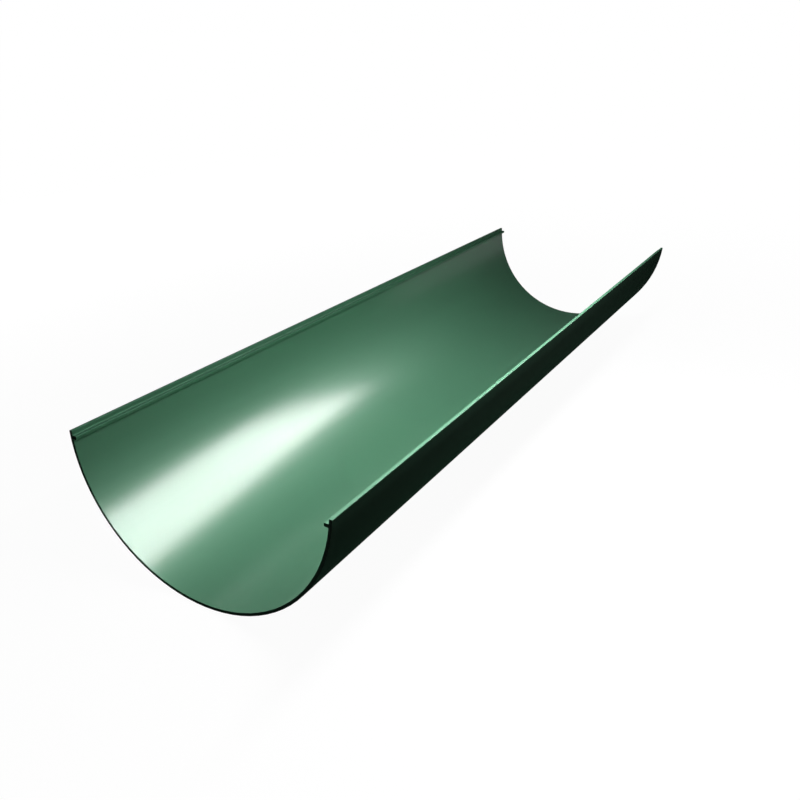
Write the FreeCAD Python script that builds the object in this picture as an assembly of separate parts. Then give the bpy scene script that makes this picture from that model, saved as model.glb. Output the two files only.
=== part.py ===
import FreeCAD, Part
import os

# Half-round rain gutter, one straight length of extruded rigid PVC.
# Millimetres. X runs across the channel, Y along it and Z up. The lowest
# line of the outside touches Z = 0 at mid length.

# The channel: a thin ring wall, open at the top and at both ends.
OUTER_DIAMETER = 130.0
WALL_THICKNESS = 1.4
LENGTH = 450.0

# Both walls stop a little short of the full half circle.
RIM_BELOW_CENTRE = 2.4

# A small level lip runs along the inside of each wall, just under its rim.
LIP_BELOW_RIM = 2.1
LIP_THICKNESS = 1.5
LIP_REACH = 2.0

# The die leaves every long edge slightly rounded.
RIM_ROUNDING = 0.2
LIP_TIP_ROUNDING = 0.2
LIP_ROOT_ROUNDING = 0.3

# Two points closer than this are taken as the same corner.
SAME_PLACE = 0.01

outer_radius = OUTER_DIAMETER / 2
inner_radius = outer_radius - WALL_THICKNESS
rim_height = outer_radius - RIM_BELOW_CENTRE
lip_top = rim_height - LIP_BELOW_RIM
lip_underside = lip_top - LIP_THICKNESS


def disc(radius):
    """A full disc across the channel, centred on the axis of the gutter."""
    centre = FreeCAD.Vector(0, -LENGTH / 2, outer_radius)
    along = FreeCAD.Vector(0, 1, 0)
    circle = Part.makeCircle(radius, centre, along)
    return Part.Face(Part.Wire([circle]))


def upright_plate(left, right, bottom, top):
    """A rectangle standing across the channel in the plane of its near end."""
    y = -LENGTH / 2
    corners = [
        FreeCAD.Vector(left, y, bottom),
        FreeCAD.Vector(right, y, bottom),
        FreeCAD.Vector(right, y, top),
        FreeCAD.Vector(left, y, top),
        FreeCAD.Vector(left, y, bottom),
    ]
    return Part.Face(Part.makePolygon(corners))


def inner_half_width(height):
    """Distance from mid channel to the inside of the wall at a height."""
    drop = outer_radius - height
    return (inner_radius ** 2 - drop ** 2) ** 0.5


def outer_half_width(height):
    """Distance from mid channel to the outside of the wall at a height."""
    drop = outer_radius - height
    return (outer_radius ** 2 - drop ** 2) ** 0.5


def full_length(profile):
    """A profile drawn at the near end, drawn out to the far end."""
    return profile.extrude(FreeCAD.Vector(0, LENGTH, 0))


def curved_wall():
    """The thin ring cut off level at the two rims."""
    ring = disc(outer_radius).cut(disc(inner_radius))
    below_rims = upright_plate(-OUTER_DIAMETER, OUTER_DIAMETER, -outer_radius, rim_height)
    return full_length(ring.common(below_rims))


def lip(side):
    """The lip of one wall, its root buried halfway into the wall."""
    root = inner_half_width(lip_top) + WALL_THICKNESS / 2
    tip = inner_half_width(lip_top) - LIP_REACH
    left = min(side * root, side * tip)
    right = max(side * root, side * tip)
    return full_length(upright_plate(left, right, lip_underside, lip_top))


def long_edges(solid, places):
    """The edges running the whole length through the given (x, z) places."""
    found = []
    for edge in solid.Edges:
        start = edge.Vertexes[0].Point
        end = edge.Vertexes[-1].Point
        if abs(end.y - start.y) < LENGTH / 2:
            continue
        for x, z in places:
            if abs(start.x - x) < SAME_PLACE and abs(start.z - z) < SAME_PLACE:
                found.append(edge)
    return found


def both_sides(x, z):
    """A place on the right wall and its mirror image on the left wall."""
    return [(x, z), (-x, z)]


def gutter():
    """The whole extruded length with its edges eased."""
    solid = curved_wall().fuse([lip(-1), lip(1)]).removeSplitter().Solids[0]

    rim_edges = both_sides(outer_half_width(rim_height), rim_height)
    rim_edges += both_sides(inner_half_width(rim_height), rim_height)
    solid = solid.makeFillet(RIM_ROUNDING, long_edges(solid, rim_edges))

    tip_x = inner_half_width(lip_top) - LIP_REACH
    tip_edges = both_sides(tip_x, lip_top) + both_sides(tip_x, lip_underside)
    solid = solid.makeFillet(LIP_TIP_ROUNDING, long_edges(solid, tip_edges))

    root_edges = both_sides(inner_half_width(lip_top), lip_top)
    root_edges += both_sides(inner_half_width(lip_underside), lip_underside)
    return solid.makeFillet(LIP_ROOT_ROUNDING, long_edges(solid, root_edges))


os.makedirs("parts", exist_ok=True)
gutter().exportStep("parts/gutter.step")
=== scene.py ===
import math
import bpy
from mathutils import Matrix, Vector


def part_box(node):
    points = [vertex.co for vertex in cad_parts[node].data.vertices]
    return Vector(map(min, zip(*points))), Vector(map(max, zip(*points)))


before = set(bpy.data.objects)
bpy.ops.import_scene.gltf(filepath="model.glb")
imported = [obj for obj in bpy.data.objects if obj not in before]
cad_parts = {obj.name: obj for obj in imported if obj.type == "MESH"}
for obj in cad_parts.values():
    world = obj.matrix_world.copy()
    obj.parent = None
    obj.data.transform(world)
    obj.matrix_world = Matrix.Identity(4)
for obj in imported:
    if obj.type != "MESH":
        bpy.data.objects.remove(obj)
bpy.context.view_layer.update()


# GUTTER
# One straight length of half-round rain gutter, extruded in rigid PVC that is
# dark green right through. The die leaves the inside of the channel glossy, the
# cooling sleeve rubs the outside matt, and the ends are sawn square.
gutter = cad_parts["gutter"]
gutter_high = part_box("gutter")[1]
OUTER_RADIUS = 0.065
WALL = 0.0014

# Down from the very top, the rim's edge ends at the first of these, and the lip
# with its root at the second. The third is how near an end counts as sawn.
RIM_BAND = 0.0003
RIM_AND_LIP = 0.0042
SAWN_BAND = 0.00004

PVC_GREEN = (0.079, 0.220, 0.131, 1.0)
PVC_GREEN_DEEP = (0.067, 0.190, 0.112, 1.0)
# Painted shade: the outside of the wall gets a darker green than the inside.
OUTSIDE_PAINTED_SHADE_GREEN = (0.062, 0.172, 0.103, 1.0)
# Painted shade: the sawn ends get a much darker green.
SAWN_END_PAINTED_SHADE_GREEN = (0.034, 0.090, 0.056, 1.0)
GREEN_SHEEN = (0.26, 0.78, 0.46, 1.0)

DIE_LINES_PER_METRE = 520.0
DIE_LINE_STRETCH = 0.006
CLOUDS_PER_METRE = 9.0
SAW_MARKS_PER_METRE = 1500.0
SAW_MARK_STRETCH = 0.08

CLOUD_SHARE = 0.7
SAWN_END_SHADE_COVER = 0.8
RELIEF_STRENGTH = 0.35
RELIEF_DEPTH = 0.00006
SAW_MARK_HEIGHT = 2.0

SKIN_ROUGHNESS = 0.475
SKIN_ROUGHNESS_SPREAD = 0.06
RUBBED_ROUGHNESS = 0.82
RUBBED_ROUGHNESS_SPREAD = 0.12


class Wire:
    """One output of a shader node. Arithmetic on it adds Math nodes."""

    def __init__(self, tree, socket=None):
        self.tree = tree
        self.socket = socket

    def pick(self, sockets, name):
        """A socket by its number, or the one in use that has this name."""
        if isinstance(name, int):
            return sockets[name]
        return next(s for s in sockets if s.enabled and s.name == name)

    def node(self, kind, settings, sockets, out=0):
        """Adds a node: its settings first, then its sockets' values or links."""
        made = self.tree.nodes.new(kind)
        for name, value in settings.items():
            setattr(made, name, value)
        for name, value in sockets.items():
            if isinstance(value, Wire):
                self.tree.links.new(value.socket, self.pick(made.inputs, name))
            else:
                self.pick(made.inputs, name).default_value = value
        return Wire(self.tree, self.pick(made.outputs, out)) if made.outputs else None

    def calculate(self, operation, *ends):
        """A Math node on one or two ends, each a wire or a plain number."""
        return self.node("ShaderNodeMath", {"operation": operation}, dict(enumerate(ends)))

    def __add__(self, other):
        return self.calculate("ADD", self, other)

    def __rsub__(self, other):
        return self.calculate("SUBTRACT", other, self)

    def __mul__(self, other):
        return self.calculate("MULTIPLY", self, other)

    def __pow__(self, other):
        return self.calculate("POWER", self, other)

    def __gt__(self, other):
        return self.calculate("GREATER_THAN", self, other)

    def __lt__(self, other):
        return self.calculate("LESS_THAN", self, other)

    def __abs__(self):
        return self.calculate("ABSOLUTE", self)

    __radd__ = __add__


pvc_material = bpy.data.materials.new("green_pvc")
pvc_material.use_nodes = True
pvc_material.node_tree.nodes.clear()
pvc = Wire(pvc_material.node_tree)

place = pvc.node("ShaderNodeTexCoord", {}, {}, "Object")
across = pvc.node("ShaderNodeSeparateXYZ", {}, {0: place}, "X")
along = pvc.node("ShaderNodeSeparateXYZ", {}, {0: place}, "Y")
height = pvc.node("ShaderNodeSeparateXYZ", {}, {0: place}, "Z")

# Which surface it is: the outside of the wall, a sawn end, the rim with its
# lip, or else the glossy inside.
below_centre = OUTER_RADIUS - height
radius = (across * across + below_centre * below_centre) ** 0.5
outside = (radius > OUTER_RADIUS - WALL / 2) * (height < gutter_high.z - RIM_BAND)
sawn = abs(along) > gutter_high.y - SAWN_BAND
matt = 1 - (1 - outside) * (1 - sawn)
rim = height > gutter_high.z - RIM_AND_LIP

# Faint lines that the die draws along the whole length, the slow clouding of
# the pigment, and the fine scratches that the saw leaves across the ends.
drawn = pvc.node(
    "ShaderNodeVectorMath",
    {"operation": "MULTIPLY"},
    {0: place, 1: (1.0, DIE_LINE_STRETCH, 1.0)},
)
die_lines = pvc.node(
    "ShaderNodeTexNoise",
    {},
    {"Vector": drawn, "Scale": DIE_LINES_PER_METRE, "Detail": 3.0, "Roughness": 0.55},
)
clouds = pvc.node(
    "ShaderNodeTexNoise", {}, {"Vector": place, "Scale": CLOUDS_PER_METRE, "Detail": 2.0}
)
sawn_place = pvc.node(
    "ShaderNodeVectorMath",
    {"operation": "MULTIPLY"},
    {0: place, 1: (SAW_MARK_STRETCH, 1.0, 1.0)},
)
saw_marks = pvc.node(
    "ShaderNodeTexNoise",
    {},
    {"Vector": sawn_place, "Scale": SAW_MARKS_PER_METRE, "Detail": 4.0},
)

skin_green = pvc.node(
    "ShaderNodeMix",
    {"data_type": "RGBA"},
    {
        "Factor": clouds * CLOUD_SHARE + die_lines * (1 - CLOUD_SHARE),
        "A": PVC_GREEN_DEEP,
        "B": PVC_GREEN,
    },
    "Result",
)
# Painted shade on the outside of the wall: its green is darker than the inside's.
green_with_painted_outside_shade = pvc.node(
    "ShaderNodeMix",
    {"data_type": "RGBA"},
    {"Factor": outside, "A": skin_green, "B": OUTSIDE_PAINTED_SHADE_GREEN},
    "Result",
)
# Painted shade on the sawn ends: they go to a much darker green, broken a little by the
# saw marks.
green = pvc.node(
    "ShaderNodeMix",
    {"data_type": "RGBA"},
    {
        "Factor": sawn * (SAWN_END_SHADE_COVER + saw_marks * (1 - SAWN_END_SHADE_COVER)),
        "A": green_with_painted_outside_shade,
        "B": SAWN_END_PAINTED_SHADE_GREEN,
    },
    "Result",
)
relief = pvc.node(
    "ShaderNodeBump",
    {},
    {
        "Strength": RELIEF_STRENGTH,
        "Distance": RELIEF_DEPTH,
        "Height": die_lines * (1 - sawn) + saw_marks * sawn * SAW_MARK_HEIGHT,
    },
)

# The skin has a wide green-tinted gloss everywhere, and a narrow clear one on
# top of it inside the channel, below the lips. The rubbed wall and the sawn
# ends have next to none.
skin = pvc.node(
    "ShaderNodeBsdfPrincipled",
    {},
    {
        "Base Color": green,
        "Roughness": SKIN_ROUGHNESS + die_lines * SKIN_ROUGHNESS_SPREAD,
        "Specular IOR Level": 0.3,
        "Specular Tint": GREEN_SHEEN,
        "Coat Weight": (1 - matt) * (1 - rim),
        "Coat Roughness": 0.225,
        "Coat IOR": 1.366,
        "Normal": relief,
    },
)
rubbed = pvc.node(
    "ShaderNodeBsdfPrincipled",
    {},
    {
        "Base Color": green,
        "Roughness": RUBBED_ROUGHNESS + die_lines * RUBBED_ROUGHNESS_SPREAD,
        "Specular IOR Level": 0.02,
        "Normal": relief,
    },
)
surface = pvc.node("ShaderNodeMixShader", {}, {0: matt, 1: skin, 2: rubbed})
pvc.node("ShaderNodeOutputMaterial", {}, {"Surface": surface})

gutter.data.materials.clear()
gutter.data.materials.append(pvc_material)


# FLOOR
# A wide sheet of plain paper that the gutter lies on. It glows white to the
# camera, and dimmer in reflections. Round the gutter it glows a little less: a
# painted soft shade, which also keeps the lamps' real shadow from clipping to white.
PAPER_SPAN = 60.0
PAPER_GREY = (0.04, 0.04, 0.04, 1.0)
WHITE = (1.0, 1.0, 1.0, 1.0)
WHITE_IN_GLOSS = 0.35
SHADOW_DEPTH = 0.045
SHADOW_REACH = 0.45


def background_rays(wire):
    """How white the background is to a ray: from the camera, or off a gloss."""
    camera = wire.node("ShaderNodeLightPath", {}, {}, "Is Camera Ray")
    glossy = wire.node("ShaderNodeLightPath", {}, {}, "Is Glossy Ray")
    through = wire.node("ShaderNodeLightPath", {}, {}, "Is Transmission Ray")
    return wire.calculate("MINIMUM", camera + (glossy + through) * WHITE_IN_GLOSS, 1.0)


bpy.ops.mesh.primitive_plane_add(size=PAPER_SPAN)
floor = bpy.context.object
floor.name = "floor"
paper_material = bpy.data.materials.new("white_paper")
paper_material.use_nodes = True
paper_material.node_tree.nodes.clear()
paper = Wire(paper_material.node_tree)
spot = paper.node("ShaderNodeTexCoord", {}, {}, "Object")
distance = paper.node("ShaderNodeVectorMath", {"operation": "LENGTH"}, {0: spot}, "Value")
# Painted shade: the glow is lowered a little in a soft patch round the gutter.
painted_shade_round_gutter = paper.calculate("EXPONENT", distance * distance * (-1 / SHADOW_REACH**2))
glow = paper.node(
    "ShaderNodeEmission",
    {},
    {"Color": WHITE, "Strength": background_rays(paper) * (1.0 - painted_shade_round_gutter * SHADOW_DEPTH)},
)
lit = paper.node("ShaderNodeBsdfDiffuse", {}, {"Color": PAPER_GREY})
sheet = paper.node("ShaderNodeAddShader", {}, {0: lit, 1: glow})
paper.node("ShaderNodeOutputMaterial", {}, {"Surface": sheet})
floor.data.materials.append(paper_material)


# STUDIO
# The room beyond the paper is white to the camera and, low down, dimmer in
# reflections. Higher up it is a dim ceiling, so the gutter keeps its depth.
CEILING_LEVEL = 0.03
WHITE_UP_TO = 0.06

room = bpy.data.worlds.new("studio")
bpy.context.scene.world = room
room.use_nodes = True
room.node_tree.nodes.clear()
air = Wire(room.node_tree)
direction = air.node("ShaderNodeTexCoord", {}, {}, "Generated")
upward = air.node("ShaderNodeSeparateXYZ", {}, {0: direction}, "Z")
low_down = air.node(
    "ShaderNodeMapRange",
    {},
    {"Value": upward, "From Max": WHITE_UP_TO, "To Min": 1.0, "To Max": 0.0},
)
camera_ray = air.node("ShaderNodeLightPath", {}, {}, "Is Camera Ray")
white_part = air.calculate("MAXIMUM", camera_ray, background_rays(air) * low_down)
sky = air.node(
    "ShaderNodeBackground",
    {},
    {"Color": WHITE, "Strength": CEILING_LEVEL + white_part * (1 - CEILING_LEVEL)},
)
air.node("ShaderNodeOutputWorld", {}, {"Surface": sky})


# LAMPS
# Two soft boxes hang over the channel: a long panel that shows only in the
# gloss, as its band of light, and a strip that lights only the green itself.
# A third stands off to the left and lights the outside of the left wall.
def soft_box(name, place, tilt, turn, width, length, level):
    """An area lamp whose face shines at so many times white."""
    lamp = bpy.data.lights.new(name, "AREA")
    lamp.shape = "RECTANGLE"
    lamp.size = width
    lamp.size_y = length
    lamp.energy = level * math.pi * width * length
    # With this on, lamps that are hidden from some rays come out too bright.
    lamp.cycles.use_multiple_importance_sampling = False
    holder = bpy.data.objects.new(name, lamp)
    holder.location = place
    holder.rotation_euler = (0.0, tilt, turn)
    bpy.context.scene.collection.objects.link(holder)
    return holder


band = soft_box(
    "band_box",
    place=(0.0753, -0.0775, 0.1943),
    tilt=0.0,
    turn=-0.196,
    width=0.1604,
    length=0.5508,
    level=25.0,
)
band.visible_diffuse = False
fill = soft_box(
    "fill_box",
    place=(0.0782, -0.0428, 0.2116),
    tilt=-0.673,
    turn=0.0,
    width=0.039,
    length=0.2873,
    level=35.8,
)
fill.visible_glossy = False
wall = soft_box(
    "wall_box",
    place=(-0.75, 0.1, 0.2),
    tilt=-1.372,
    turn=0.0,
    width=0.4,
    length=0.7,
    level=4.5,
)
wall.visible_glossy = False


# CAMERA
# It looks down into the channel from beyond its near right corner.
CAMERA_PLACE = (0.1956, -0.42117, 0.21108)
CAMERA_DEGREES = (63.49414, 0.18923, 32.57374)

camera_lens = bpy.data.cameras.new("camera")
camera_lens.sensor_width = 36.0
camera_lens.lens = 37.0755
camera_lens.shift_x = 0.06977
camera_lens.shift_y = 0.04741
camera = bpy.data.objects.new("camera", camera_lens)
camera.location = CAMERA_PLACE
camera.rotation_euler = [math.radians(angle) for angle in CAMERA_DEGREES]
bpy.context.scene.collection.objects.link(camera)
bpy.context.scene.camera = camera
bpy.context.scene.view_settings.view_transform = "Standard"
